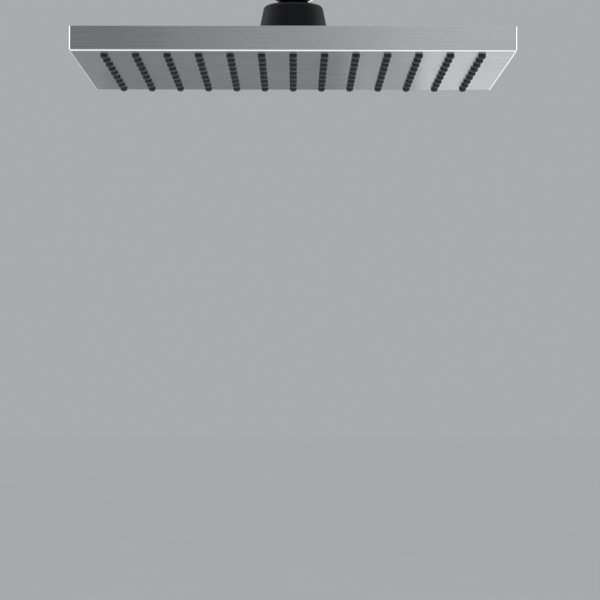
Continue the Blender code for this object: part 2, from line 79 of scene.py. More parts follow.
def soften(outline, reach, steps=3):
    """Rounds the inner corners of outlines (..., n, 2): each corner gives way to the curve
    (1-t)^2 A + 2t(1-t) C + t^2 B, with A and B on its two sides at the given reach, or at
    two fifths of a side that is shorter."""
    corner = outline[..., 1:-1, :]
    back = outline[..., :-2, :] - corner
    ahead = outline[..., 2:, :] - corner
    back_length = np.linalg.norm(back, axis=-1, keepdims=True)
    ahead_length = np.linalg.norm(ahead, axis=-1, keepdims=True)
    a = corner + back * np.minimum(reach / np.maximum(back_length, 1e-9), 0.4)
    b = corner + ahead * np.minimum(reach / np.maximum(ahead_length, 1e-9), 0.4)
    t = np.linspace(0, 1, steps)[:, None]
    a, b, c = a[..., None, :], b[..., None, :], corner[..., None, :]
    curve = (1 - t) ** 2 * a + 2 * t * (1 - t) * c + t**2 * b
    curve = curve.reshape(*outline.shape[:-2], -1, 2)
    return np.concatenate([outline[..., :1, :], curve, outline[..., -1:, :]], axis=-2)


def arc(radius, centre_z, start, end, steps, centre_r=0.0):
    """Points (centre_r + R sin a, centre_z + R cos a), angles in degrees from straight up."""
    a = np.radians(np.linspace(start, end, steps + 1))
    return np.stack([centre_r + radius * np.sin(a), centre_z + radius * np.cos(a)], axis=-1)


def angles_round(sides):
    """Equal steps of angle, once round."""
    return np.arange(sides) * 2 * np.pi / sides


def outlines(rings, sides):
    """One outline for each angle (sides, rings, 2), from rings (radius, height) in which a
    radius or a height is one number or one for each angle."""
    every = np.zeros(sides)
    return np.stack([np.stack([r + every, h + every], -1) for r, h in rings], axis=1)


def carried_round(outline, sides):
    """Carries an outline (rows, 2) of (radius, height), or one outline for each angle
    (sides, rows, 2), round Z: (r cos a, r sin a, z). Returns the grid (sides, rows, 3)."""
    outline = np.broadcast_to(outline, (sides, *outline.shape[-2:]))
    a = angles_round(sides)[:, None]
    r, z = outline[..., 0], outline[..., 1]
    return np.stack([r * np.cos(a), r * np.sin(a), z], axis=-1)


def thread_saw(z, pitch, sides):
    """Shares (sides, heights) between a thread's crest and root: |2 frac(u) - 1|, with u the
    height over the pitch less the turn's share of a full circle."""
    turn = z[None, :] / pitch - angles_round(sides)[:, None] / (2 * np.pi)
    return np.abs((turn % 1) * 2 - 1)


def grid_faces(columns, rows, close_columns=True, close_rows=False, first=0):
    """Four-cornered faces of a grid stored column by column; a closed way wraps round."""
    i = np.arange(columns if close_columns else columns - 1)[:, None]
    j = np.arange(rows if close_rows else rows - 1)[None, :]
    i, j = np.broadcast_arrays(i, j)
    i2, j2 = (i + 1) % columns, (j + 1) % rows
    corners = [i * rows + j, i2 * rows + j, i2 * rows + j2, i * rows + j2]
    return np.stack(corners, axis=-1).reshape(-1, 4) + first


def finished_piece(name, points, faces, material, body, replaced, sharp=40):
    """Makes the mesh, merges points that coincide, turns the faces outwards, shades it smooth
    but for edges sharper than the given degrees, with wide flat faces kept flat, and fixes
    it to its body in place of the plain solid."""
    mesh = bpy.data.meshes.new(name)
    mesh.from_pydata(points.reshape(-1, 3), [], faces)
    bm = bmesh.new()
    bm.from_mesh(mesh)
    bmesh.ops.remove_doubles(bm, verts=bm.verts, dist=WELD)
    bmesh.ops.dissolve_degenerate(bm, edges=bm.edges, dist=WELD / 10)
    bmesh.ops.recalc_face_normals(bm, faces=bm.faces)
    bm.to_mesh(mesh)
    bm.free()
    mesh.shade_smooth()
    mesh.set_sharp_from_angle(angle=math.radians(sharp))
    mesh.materials.append(material)
    piece = bpy.data.objects.new(name, mesh)
    bpy.context.scene.collection.objects.link(piece)
    even = piece.modifiers.new("flat_faces_stay_flat", "WEIGHTED_NORMAL")
    even.keep_sharp = True
    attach(piece, body)
    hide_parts(replaced)
    return piece


def closed_piece(name, surface, material, body, replaced):
    """A grid that is closed both ways, finished as a piece."""
    faces = grid_faces(*surface.shape[:2], close_rows=True)
    return finished_piece(name, surface, faces, material, body, replaced)


def feed(tree, node, inputs):
    """Gives each input of a node, by name or number, a value or another node's output."""
    for name, value in inputs.items():
        if isinstance(value, bpy.types.NodeSocket):
            tree.links.new(value, node.inputs[name])
        else:
            node.inputs[name].default_value = value


def added(tree, kind, inputs, **settings):
    """Adds a node of a kind with its settings and inputs, and returns its outputs."""
    node = tree.nodes.new(kind)
    for setting, value in settings.items():
        setattr(node, setting, value)
    feed(tree, node, inputs)
    return node.outputs


def noise(tree, scale, detail, stretch=(1, 1, 1)):
    """Noise on the piece's own coordinates, with a scale in waves to the metre, a detail of
    so many finer layers, and drawn out along an axis where stretch is small."""
    own = added(tree, "ShaderNodeTexCoord", {})["Object"]
    drawn = added(tree, "ShaderNodeMapping", {"Vector": own, "Scale": stretch})["Vector"]
    inputs = {"Vector": drawn, "Scale": scale, "Detail": detail}
    return added(tree, "ShaderNodeTexNoise", inputs)["Fac"]


def spread(tree, pattern, low, high, from_low=0.3, from_high=0.7):
    """Turns the range of a pattern, for noise mostly 0.3 to 0.7, into another range."""
    inputs = {"Value": pattern, "From Min": from_low, "From Max": from_high}
    inputs |= {"To Min": low, "To Max": high}
    return added(tree, "ShaderNodeMapRange", inputs)["Result"]


def mixed(tree, kind, share, first, second):
    """A number, vector or colour between two others, by the share that a pattern gives."""
    inputs = {"Factor": share, "A": first, "B": second}
    return added(tree, "ShaderNodeMix", inputs, data_type=kind)["Result"]


def blended(tree, share, first, second):
    """A colour between two plain colours."""
    return mixed(tree, "RGBA", share, (*first, 1), (*second, 1))


def bump(tree, height, strength, distance):
    """The slant that a pattern of heights, at most distance deep, gives the surface."""
    inputs = {"Height": height, "Strength": strength, "Distance": distance}
    return added(tree, "ShaderNodeBump", inputs)["Normal"]


def started_material(name):
    """An empty material and its node tree."""
    material = bpy.data.materials.new(name)
    material.use_nodes = True
    return material, material.node_tree


def shade(tree, inputs):
    """Feeds the material's own shader."""
    feed(tree, tree.nodes["Principled BSDF"], inputs)


def black_plating():
    """Glossy black plating over turned brass: faint turning lines, and a haze of fine wear."""
    material, tree = started_material("black_plating")
    haze = noise(tree, 260, 4)
    lines = noise(tree, 900, 2, (0.15, 0.15, 4))
    shade(tree, {
        "Metallic": 1,
        "Base Color": blended(tree, haze, (0.028, 0.028, 0.031), (0.052, 0.051, 0.052)),
        "Roughness": spread(tree, haze, 0.13, 0.26),
        "Normal": bump(tree, lines, 0.12, 0.00004),
    })
    return material


def hexagon_radius(angles):
    """Distance of a rounded hexagon's outline from its centre, corners on the X axis: on the
    flats it is half the width over cos(angle to the flat), and near a corner the ray meets
    the corner's arc at D cos d + sqrt(c^2 - D^2 sin^2 d)."""
    flat = NUT_ACROSS_FLATS / 2
    to_corner = (angles + np.pi / 6) % (np.pi / 3) - np.pi / 6
    to_flat = np.pi / 6 - np.abs(to_corner)
    on_flat = flat / np.cos(to_flat)
    c = NUT_CORNER_ROUNDING
    distance = (flat - c) / math.cos(math.pi / 6)
    inside = np.maximum(c**2 - (distance * np.sin(to_corner)) ** 2, 0)
    on_arc = distance * np.cos(to_corner) + np.sqrt(inside)
    reached = np.sin(np.abs(to_corner)) * distance < c * math.sin(math.pi / 6)
    return np.where(reached, on_arc, on_flat)


def ball_nut_surface(sides=120, thread_rows=90):
    """One closed outline for each angle, carried round Z: the outside, the ball to the angle
    where its waterway opens, the waterway with its pocket, and the thread. The hexagon's
    height range at each angle is where its radius meets the two chamfer cones, and the
    thread's root is a rounded saw that fades out at its lower end."""
    radius = hexagon_radius(angles_round(sides))
    slope = math.tan(NUT_TAPER)
    neck = math.sqrt(BALL_RADIUS**2 - (-NUT_HEIGHT - BALL_Z) ** 2)
    outside = outlines(
        [
            (MOUTH_RADIUS, 0),
            (NUT_TOP_RADIUS, 0),
            (radius, -(radius - NUT_TOP_RADIUS) * slope),
            (radius, -NUT_HEIGHT + (radius - NUT_BOTTOM_RADIUS) * slope),
            (NUT_BOTTOM_RADIUS, -NUT_HEIGHT),
            (neck, -NUT_HEIGHT),
        ],
        sides,
    )
    neck_angle = math.degrees(math.asin(neck / BALL_RADIUS))
    ball = arc(BALL_RADIUS, BALL_Z, neck_angle, BALL_END_ANGLE, 44)[1:]
    bore = [
        (WATERWAY_RADIUS, BALL_Z - WATERWAY_MOUTH),
        (WATERWAY_RADIUS, POCKET_FLOOR),
        (POCKET_RADIUS, POCKET_FLOOR),
        (POCKET_RADIUS, -THREAD_DEPTH),
        (THREAD_MINOR, -THREAD_DEPTH),
    ]
    z = np.linspace(-THREAD_DEPTH + THREAD_END_GAP, -MOUTH_DEPTH, thread_rows)
    saw = thread_saw(z, THREAD_PITCH, sides)
    rounded = saw * saw * (3 - 2 * saw)
    fade = np.clip((z + THREAD_DEPTH) / THREAD_RUN_OUT, 0, 1)
    root = THREAD_MINOR + (THREAD_MAJOR - THREAD_MINOR) * rounded * fade
    thread = np.stack([root, np.broadcast_to(z, root.shape)], -1)
    rest = outlines([*ball, *bore], sides)
    outline = np.concatenate([soften(outside, NUT_EDGE_ROUNDING), rest, thread], axis=1)
    return carried_round(outline, sides)


closed_piece("threaded_ball_nut", ball_nut_surface(), black_plating(), "inlet",
             "ball_nut")

# ---- Inlet washer, filter screen and flow regulator ----------------------------------
# A rubber washer and a woven steel screen lie in the bottom of the thread. Under them, in
# a pocket of its own, a plastic disc with a rubber ring limits the flow.

WASHER_BORE = 0.0058
SCREEN_RIM_WIDTH = 0.002
SCREEN_WIRES = 18
SCREEN_WIRE_THICKNESS = 0.00024
WIRE_END_IN_RIM = 0.0004


def black_rubber():
    """Matt moulded rubber with a fine grain and paler, dusty patches."""
    material, tree = started_material("black_rubber")
    patches = noise(tree, 160, 3)
    grain = noise(tree, 2600, 3)
    shade(tree, {
        "Specular IOR Level": 0.35,
        "Base Color": blended(tree, patches, (0.022, 0.022, 0.023), (0.0414, 0.0414, 0.0431)),
        "Roughness": spread(tree, patches, 0.52, 0.68),
        "Normal": bump(tree, grain, 0.18, 0.00005),
    })
    return material


def screw_steel():
    """Plain stainless steel, as drawn wire and rolled screws have it."""
    material, tree = started_material("screw_steel")
    cloud = noise(tree, 300, 3)
    scratches = noise(tree, 1500, 2, (1, 0.1, 1))
    shade(tree, {
        "Metallic": 1,
        "Base Color": blended(tree, cloud, (0.53, 0.53, 0.53), (0.66, 0.65, 0.64)),
        "Roughness": spread(tree, cloud, 0.18, 0.34),
        "Normal": bump(tree, scratches, 0.1, 0.00003),
    })
    return material


def moulded_plastic(name, colour, low=0.34, high=0.5, grain_size=1400):
    """Moulded plastic with a faint spark-eroded grain, a little uneven in tone, its roughness
    between low and high."""
    material, tree = started_material(name)
    tone = noise(tree, 90, 3)
    grain = noise(tree, grain_size, 3)
    darker = tuple(c * 0.85 for c in colour)
    shade(tree, {
        "Base Color": blended(tree, tone, darker, colour),
        "Roughness": spread(tree, tone, low, high),
        "Normal": bump(tree, grain, 0.12, 0.00004),
    })
    return material


def give_finish(node, material):
    """Puts a material on a plain solid that keeps its own shape."""
    slots = frame["nodes"][node].data.materials
    slots.clear()
    slots.append(material)


def ring_size(node):
    """Outer radius, lowest and highest height of a round node about Z."""
    low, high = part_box(node)
    return high.x, low.z, high.z


def ring_surface(outline, sides, corner):
    """A closed outline (radius, height) with softened corners, carried round Z."""
    outline = np.asarray(outline, float)
    closed = np.concatenate([outline[-1:], outline, outline[:1]])
    return carried_round(soften(closed, corner)[1:-1], sides)


def flat_ring(node, inner, corner, sides=96):
    """A washer as wide and as thick as its node: a rectangle in the plane of radius and
    height, with softened corners, carried round Z."""
    outer, bottom, top = ring_size(node)
    outline = [(outer, top), (outer, bottom), (inner, bottom), (inner, top)]
    return ring_surface(outline, sides, corner)


def cord_ring(node, sides=96, rows=18):
    """A round cord that fills its node's box, as the torus
    ((R + r cos b) cos a, (R + r cos b) sin a, z + r sin b)."""
    outer, bottom, top = ring_size(node)
    r = (top - bottom) / 2
    b = -angles_round(rows)
    outline = np.stack([outer - r + r * np.cos(b), bottom + r + r * np.sin(b)], -1)
    return carried_round(outline, sides)


BLACK_RUBBER = black_rubber()
SCREW_STEEL = screw_steel()

closed_piece("inlet_washer_ring", flat_ring("inlet_washer", WASHER_BORE, corner=0.0005),
             BLACK_RUBBER, "inlet", "inlet_washer")
closed_piece("regulator_cord_ring", cord_ring("regulator_ring"), BLACK_RUBBER, "inlet",
             "regulator_ring")


def woven_wires(count, reach, wire, height, points=48, sides=6):
    """Wires both ways across a disc. A wire along s at offset o weaves between its crossings,
    z = h + wire / 2 cos(pi s / spacing + pi k), and is a closed tube of its own. Returns
    points and faces."""
    spacing = 2 * reach / count
    around = angles_round(sides)
    offsets = (np.arange(count) - (count - 1) / 2) * spacing
    half = np.sqrt(np.maximum(reach**2 - offsets**2, 1e-9))
    s = np.linspace(-1, 1, points)[None, :] * half[:, None]
    number = np.arange(count)[:, None]
    tubes = []
    for turned, phase in ((False, 0), (True, 1)):
        wave = np.cos(np.pi * (s / spacing + number + phase + (count - 1) / 2))
        z = height + wire * 0.5 * wave
        across = offsets[:, None, None] + wire / 2 * np.cos(around)
        across = np.broadcast_to(across, (count, points, sides))
        along = np.broadcast_to(s[:, :, None], (count, points, sides))
        up = z[:, :, None] + wire / 2 * np.sin(around)
        pair = (across, along) if turned else (along, across)
        tubes.append(np.stack([*pair, up], -1))
    tubes = np.concatenate(tubes)
    faces = [grid_faces(points, sides, False, True, n * points * sides) for n in range(2 * count)]
    ends = np.arange(2 * count)[:, None] * points * sides + np.arange(sides)
    caps = [*ends.tolist(), *(ends + (points - 1) * sides).tolist()]
    return tubes.reshape(-1, 3), [*np.concatenate(faces).tolist(), *caps]


screen_outer, screen_low, screen_high = ring_size("filter_screen")
screen_inner = screen_outer - SCREEN_RIM_WIDTH
wire_points, wire_faces = woven_wires(SCREEN_WIRES, screen_inner + WIRE_END_IN_RIM,
                                      SCREEN_WIRE_THICKNESS, (screen_low + screen_high) / 2)
screen_rim = flat_ring("filter_screen", screen_inner, corner=0.0001, sides=72)
rim_faces = grid_faces(*screen_rim.shape[:2], close_rows=True, first=len(wire_points))
finished_piece(
    "woven_filter_screen", np.concatenate([wire_points, screen_rim.reshape(-1, 3)]),
    [*wire_faces, *rim_faces.tolist()], SCREW_STEEL, "inlet", "filter_screen",
)

give_finish("flow_regulator", moulded_plastic("regulator_plastic", (0.1, 0.42, 0.2)))

# ---- Seat rings ----------------------------------------------------------------------
# Two thin rings of white bearing plastic between the ball and its housing, round on both
# faces, so that the ball turns without metal touching metal.

SEAT_INNER = BALL_RADIUS + 0.0003
SEAT_OUTER = SEAT_INNER + 0.0012
SEATS = (("upper_seat", 66, 86), ("lower_seat", 98, 122))
SEAT_PLASTIC = moulded_plastic("seat_plastic", (0.82, 0.82, 0.79), 0.3, 0.42)


def seat_surface(start, end):
    """Between two spheres and two cones round the ball's centre, carried round Z; start and
    end are degrees from straight up."""
    outer = arc(SEAT_OUTER, BALL_Z, start, end, 12)
    inner = arc(SEAT_INNER, BALL_Z, end, start, 12)
    return carried_round(np.concatenate([outer, inner]), 96)


for seat, start, end in SEATS:
    closed_piece(f"{seat}_ring", seat_surface(start, end), SEAT_PLASTIC, seat,
                 seat)

# ---- Ball socket and its seals -------------------------------------------------------
# A turned brass boss with the ball's cup, on a flange that four screws hold to the water
# chamber's lid. One rubber ring seals the ball and one the flange.


def machined_brass():
    """Turned brass: rings from the tool, and a slight brown bloom."""
    material, tree = started_material("brass")
    bloom = noise(tree, 130, 4)
    rings = noise(tree, 1800, 2, (0.1, 0.1, 3))
    shade(tree, {
        "Metallic": 1,
        "Base Color": blended(tree, bloom, (0.74, 0.56, 0.26), (0.6, 0.43, 0.19)),
        "Roughness": spread(tree, bloom, 0.22, 0.36),
        "Normal": bump(tree, rings, 0.15, 0.00004),
    })
    return material


give_finish("ball_socket", machined_brass())
closed_piece("ball_seal_ring", cord_ring("ball_seal"), BLACK_RUBBER, "head",
             "ball_seal")
closed_piece("face_seal_ring", cord_ring("socket_face_seal"), BLACK_RUBBER, "head",
             "socket_face_seal")

# ---- Collar --------------------------------------------------------------------------
# The black tapered nut of hard plastic that screws down over the boss. Its rounded lip
# keeps the ball in, and a thin rubber washer keeps it from scratching the cover.

COLLAR_TOP_RADIUS = 0.0213
COLLAR_RISE = 0.0086
COLLAR_ROUNDING = 0.0032
COLLAR_BORE = 0.02085
COLLAR_STEP = BALL_Z - 0.0015
COLLAR_CUP = SEAT_OUTER + 0.0003
COLLAR_LIP_ANGLE = 63.3
COLLAR_FOOT_HEIGHT = 0.0011
COLLAR_FOOT_INSET = 0.0007


def satin_black():
    """Black plastic with a soft satin gloss, its skin slightly orange-peeled."""
    material, tree = started_material("black_plastic")
    cloud = noise(tree, 70, 3)
    peel = noise(tree, 520, 3)
    shade(tree, {
        "Specular IOR Level": 0.1,
        "Base Color": blended(tree, cloud, (0.0045, 0.0047, 0.0052), (0.008, 0.0083, 0.009)),
        "Roughness": spread(tree, cloud, 0.3, 0.42),
        "Normal": bump(tree, peel, 0.08, 0.0001),
    })
    return material


def collar_surface():
    """The collar's closed outline carried round Z: its rounded top and tapered side, the bore
    up to the step, the cup round the seat rings and the lip round the ball."""
    base, bottom, top = ring_size("swivel_collar")
    shoulder = COLLAR_TOP_RADIUS - COLLAR_ROUNDING
    cup_start = math.degrees(math.acos((COLLAR_STEP - BALL_Z) / COLLAR_CUP))
    lip_end = math.degrees(math.acos(COLLAR_RISE / SEAT_INNER))
    outline = [
        *arc(COLLAR_ROUNDING, top - COLLAR_ROUNDING, 0, 80, 12, shoulder),
        (base, bottom + COLLAR_FOOT_HEIGHT), (base - COLLAR_FOOT_INSET, bottom),
        (COLLAR_BORE, bottom), (COLLAR_BORE, COLLAR_STEP),
        *arc(COLLAR_CUP, BALL_Z, cup_start, COLLAR_LIP_ANGLE, 12),
        *arc(SEAT_INNER, BALL_Z, COLLAR_LIP_ANGLE, lip_end, 6),
    ]
    return ring_surface(outline, sides=160, corner=0.00035)


closed_piece("tapered_collar", collar_surface(), satin_black(), "head",
             "swivel_collar")
closed_piece("collar_trim_washer", flat_ring("collar_washer", COLLAR_BORE, corner=0.0002),
             BLACK_RUBBER, "head", "collar_washer")

# ---- Top cover -----------------------------------------------------------------------
# A flat sheet of brushed stainless steel that drops into the shell's rim, with a round hole
# for the boss. The real one is welded from inside, so only a hair-line joint shows.

COVER_HOLE = 0.021
COVER_EDGE = 0.0003
NOZZLES = (13, 9)
SIDE_STEPS = 6
CORNER_STEPS = 8


def brushed_steel():
    """Brushed stainless steel. The grain is noise drawn out along the sheet's own length: X
    on the flat faces and on the long sides, Y on the short sides, and a reflection spreads
    across the grain. Where the attribute 'polish' is 1, as on the rounded edges, the steel
    is smoother and brighter."""
    material, tree = started_material("brushed_steel")
    way = added(tree, "ShaderNodeTexCoord", {})["Normal"]
    sideways = added(tree, "ShaderNodeSeparateXYZ", {"Vector": way})["X"]
    facing = added(tree, "ShaderNodeMath", {0: sideways}, operation="ABSOLUTE")[0]
    short_side = added(tree, "ShaderNodeMath", {0: facing, 1: 0.8}, operation="GREATER_THAN")[0]

    def grain(scale, length):
        """Grain drawn out along X, and along Y where the face looks sideways."""
        along_x = noise(tree, scale, 3, (length, 1, 1))
        along_y = noise(tree, scale, 3, (1, length, 1))
        return mixed(tree, "FLOAT", short_side, along_x, along_y)

    fine = grain(4200, 0.004)
    coarse = grain(1700, 0.0015)
    cloud = noise(tree, 14, 3)
    tone = spread(tree, mixed(tree, "FLOAT", 0.4, coarse, cloud), 0, 1)
    brushed = blended(tree, tone, (0.456, 0.464, 0.478), (0.522, 0.529, 0.54))
    polish = added(tree, "ShaderNodeAttribute", {}, attribute_name="polish")["Fac"]
    across = mixed(tree, "VECTOR", short_side, (0, 0.7, 0.7), (0, 0, 1))
    tangent = added(tree, "ShaderNodeVectorTransform", {"Vector": across},
                    vector_type="VECTOR", convert_from="OBJECT", convert_to="WORLD")["Vector"]
    shade(tree, {
        "Metallic": 1,
        "Base Color": mixed(tree, "RGBA", polish, brushed, (0.86, 0.865, 0.87, 1)),
        "Roughness": mixed(tree, "FLOAT", polish, spread(tree, fine, 0.2, 0.3), 0.14),
        "Normal": bump(tree, fine, 0.1, 0.00003),
        "Tangent": tangent,
        "Anisotropic": 0.85,
        "Specular Tint": (0.44, 0.45, 0.46, 1),
    })
    return material


def side_places():
    """Places round a rectangle as shares (-1 to 1) of its half sides, with the way outwards
    of each: along a side they follow the nozzle cells, each cut at the tangents of equal
    angles, and at a corner the place stays and its way outwards turns through 90 degrees."""
    steps = np.tan(np.linspace(-np.pi / 4, np.pi / 4, SIDE_STEPS + 1))
    places, ways = [], []
    for quarter in range(4):
        count = NOZZLES[1] if quarter % 2 == 0 else NOZZLES[0]
        centres = 2 * np.arange(count)[:, None] - (count - 1)
        along = np.append((centres + steps[:-1]).ravel(), count) / count
        turn = quarter * np.pi / 2
        spin = np.array([[math.cos(turn), math.sin(turn)], [-math.sin(turn), math.cos(turn)]])
        side = np.stack([np.ones_like(along), along], -1) @ spin
        way = np.broadcast_to(np.array([1.0, 0.0]) @ spin, side.shape)
        bend = turn + np.linspace(0, np.pi / 2, CORNER_STEPS + 1)[1:-1]
        corner = np.broadcast_to(side[-1], (len(bend), 2))
        places += [side, corner]
        ways += [way, np.stack([np.cos(bend), np.sin(bend)], -1)]
    return np.concatenate(places), np.concatenate(ways)


PLACES, WAYS = side_places()


def loops(rows, places=PLACES):
    """Rounded rectangles (half length, half width, corner radius, height), each as the loop
    share * (half side - radius) + radius * way. Returns the grid (places, rows, 3)."""
    rows = np.asarray(rows, float)
    core = rows[:, :2] - rows[:, 2:3]
    flat = places[:, None, :] * core[None] + WAYS[:, None, :] * rows[None, :, 2:3]
    height = np.broadcast_to(rows[None, :, 3:4], (*flat.shape[:2], 1))
    return np.concatenate([flat, height], -1)


def rounded_edge(box, corner, radius, face_z, rise, steps):
    """Rows for loops() from a flat face to the sides of a box (its upper corner): the loop
    lies r (1 - sin a) inside the sides, at the face's height + rise r (1 - cos a)."""
    a = np.radians(np.linspace(0, 90, steps))
    inset = radius * (1 - np.sin(a))
    height = face_z + rise * radius * (1 - np.cos(a))
    return np.stack([box.x - inset, box.y - inset, corner - inset, height], axis=-1)


def cover_surface(low, high):
    """The sheet's closed outline at every place: up the wall of the round hole, whose radius
    is the same in every direction, over the top and down the sides."""
    direction = PLACES * (high.x, high.y)
    direction = direction / np.linalg.norm(direction, axis=-1, keepdims=True)
    hole = np.array([
        (COVER_HOLE, low.z), (COVER_HOLE, high.z - COVER_EDGE), (COVER_HOLE + COVER_EDGE, high.z),
    ])
    height = np.broadcast_to(hole[:, 1:], (len(direction), len(hole), 1))
    inner = np.concatenate([direction[:, None, :] * hole[:, :1], height], axis=-1)
    edge = rounded_edge(high, COVER_EDGE, COVER_EDGE, high.z, -1, 4)
    outer = loops([*edge, (high.x, high.y, COVER_EDGE, low.z)])
    return np.concatenate([inner, outer], axis=1)


STEEL = brushed_steel()
cover_low, cover_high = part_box("top_cover")
closed_piece("brushed_top_cover", cover_surface(cover_low, cover_high), STEEL, "head",
             "top_cover")

# ---- Water chamber: lid, gasket and deflector ----------------------------------------
# A ribbed lid, moulded in grey plastic, closes the space over the nozzle mat. A rubber cord
# in its groove seals it, and a white disc on three legs under the inlet spreads the water.

GASKET_CORNER = 0.004

give_finish("chamber_lid",
            moulded_plastic("chamber_plastic", (0.34, 0.35, 0.36), 0.42, 0.56, 900))
give_finish("deflector", SEAT_PLASTIC)


def cord_gasket(low, high, rows=14):
    """A round cord laid along a rounded rectangle: loops() whose size and height turn round
    the cord's middle, by r cos b and r sin b."""
    r = (high.z - low.z) / 2
    b = angles_round(rows)
    out = r * np.cos(b)
    height = low.z + r + r * np.sin(b)
    return loops(np.stack([high.x - r + out, high.y - r + out, GASKET_CORNER + out, height], -1))


closed_piece("chamber_cord_gasket", cord_gasket(*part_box("chamber_gasket")), BLACK_RUBBER,
             "head", "chamber_gasket")

# ---- Nozzle mat ----------------------------------------------------------------------
# One sheet of black silicone with every nozzle moulded on it. Each nozzle plugs its hole,
# swells to a soft bulb below the steel and ends in a small flat tip, to be rubbed clean.

PITCH = 0.02125
CELL_STEPS = 4 * SIDE_STEPS
MAT_THICKNESS = 0.0014
MAT_REACH = 0.0048
MAT_CORNER = 0.0015
PLUG_RADIUS = 0.00285
ORIFICE_RADIUS = 0.0007
FUNNEL_RADIUS = 0.0017
BULB_RADIUS = 0.00275
BULB_ROUNDING = 0.002
BULB_DROP = 0.0012
TIP_RADIUS = 0.0011
NIP = 0.0001


def pierced(profile, reach):
    """Square cells round the nozzles, joined to one profile (radius, height) that runs from
    the lower face to the upper one, at every nozzle: (cx + r cos a, cy + r sin a, z). The
    outer cells end at the given reach beyond the last nozzles. Returns points and faces."""
    quarter = np.linspace(-np.pi / 4, np.pi / 4, SIDE_STEPS + 1)[:-1]
    angles = (np.arange(4)[:, None] * np.pi / 2 + quarter).ravel()
    ways = np.stack([np.cos(angles), np.sin(angles)], -1)
    square = ways / np.abs(ways).max(-1, keepdims=True) * PITCH / 2
    x, y = ((np.arange(n) - (n - 1) / 2) * PITCH for n in NOZZLES)
    centres = np.stack(np.meshgrid(x, y, indexing="ij"), -1).reshape(-1, 1, 2)
    last = np.array([x[-1], y[-1]])
    rim = centres + square[None]
    beyond = np.maximum(np.abs(rim) - last, 0)
    rim = np.sign(rim) * (np.minimum(np.abs(rim), last) + beyond * reach / (PITCH / 2))
    holes = centres[:, :, None, :] + ways[None, :, None, :] * profile[None, None, :, :1]
    flat = np.concatenate([rim[:, :, None], holes, rim[:, :, None]], axis=2)
    heights = np.concatenate([profile[:1, 1], profile[:, 1], profile[-1:, 1]])
    z = np.broadcast_to(heights[None, None, :, None], (*flat.shape[:3], 1))
    points = np.concatenate([flat, z], -1)
    rows = len(heights)
    cells = np.arange(len(centres))[:, None, None] * CELL_STEPS * rows
    faces = grid_faces(CELL_STEPS, rows)[None] + cells
    return points.reshape(-1, 3), faces.reshape(-1, 4)


def place_shares(reach):
    """The places round the plate once more, with the outer cells' share of the side made
    as narrow as their reach: the same bend that the cells themselves are given."""
    half = np.array(NOZZLES) * PITCH / 2
    last = half - PITCH / 2
    at = np.abs(PLACES) * half
    at = np.minimum(at, last) + np.maximum(at - last, 0) * reach / (PITCH / 2)
    return np.sign(PLACES) * at / (last + reach)


def whole_plate(profile, reach, border):
    """A pierced plate with its border, as points and faces. The border's rows run from the
    edge of the lower face's cells, round the plate's sides, to that of the upper face's."""
    field = (np.array(NOZZLES) - 1) * PITCH / 2 + reach
    low_z, high_z = profile[0, 1], profile[-1, 1]
    points, faces = pierced(profile, reach)
    grid = loops([(*field, 0, low_z), *border, (*field, 0, high_z)], place_shares(reach))
    grid_round = grid_faces(*grid.shape[:2]) + len(points)
    return np.concatenate([points, grid.reshape(-1, 3)]), np.concatenate([faces, grid_round])


def silicone():
    """Black silicone, matt, with a faint sheen at the skin and a little moulding dust."""
    material, tree = started_material("black_silicone")
    dust = noise(tree, 240, 4)
    grain = noise(tree, 3200, 2)
    shade(tree, {
        "Specular IOR Level": 0.3,
        "Base Color": blended(tree, dust, (0.011, 0.013, 0.014), (0.024, 0.027, 0.029)),
        "Roughness": spread(tree, dust, 0.42, 0.58),
        "Sheen Weight": 0.06,
        "Sheen Roughness": 0.5,
        "Normal": bump(tree, grain, 0.12, 0.00004),
    })
    return material


shell_low, shell_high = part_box("lower_shell")
spray_face = shell_low.z
mat_low, mat_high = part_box("nozzle_mat")
mat_bottom = mat_high.z - MAT_THICKNESS
nozzle_profile = np.array([
    (PLUG_RADIUS + 4.5 * NIP, mat_bottom),
    (PLUG_RADIUS, mat_bottom),
    (PLUG_RADIUS, spray_face + NIP),
    (PLUG_RADIUS - 2 * NIP, spray_face - NIP),
    *arc(BULB_ROUNDING, spray_face - BULB_DROP, 62, 162, 10, BULB_RADIUS - BULB_ROUNDING),
    (TIP_RADIUS, mat_low.z),
    (ORIFICE_RADIUS + NIP, mat_low.z),
    (ORIFICE_RADIUS, mat_low.z + 2 * NIP),
    (ORIFICE_RADIUS, mat_bottom),
    (FUNNEL_RADIUS - NIP, mat_high.z - 3 * NIP),
    (FUNNEL_RADIUS, mat_high.z),
])
mat_points, mat_faces = whole_plate(
    nozzle_profile, MAT_REACH,
    [(mat_high.x, mat_high.y, MAT_CORNER, mat_bottom),
     (mat_high.x, mat_high.y, MAT_CORNER, mat_high.z)],
)
finished_piece("silicone_nozzle_mat", mat_points, mat_faces, silicone(), "head",
               "nozzle_mat")

# ---- Lower shell ---------------------------------------------------------------------
# One deep-drawn pan of stainless steel: the spray face with its holes and the four side
# walls, with short posts inside for the lid's screws. The faces are brushed, and the
# rounded edges are cut bright afterwards.

EDGE_RADIUS = 0.0015
LONG_CUT_SHARE = 0.7
SPRAY_THICKNESS = 0.0013
WALL = 0.002
RIM = 0.0012
RIM_ROUNDING = 0.0002
INSIDE_CORNER = 0.0003
COVER_GAP = 0.0002
HOLE_RADIUS = 0.003
HOLE_LIP = 0.0003
POST_RADIUS = 0.0026
POST_BORE = 0.0013
POST_ROOT = 0.0004
LID_SCREWS = [f"lid_screw_{number}" for number in range(1, 13)]

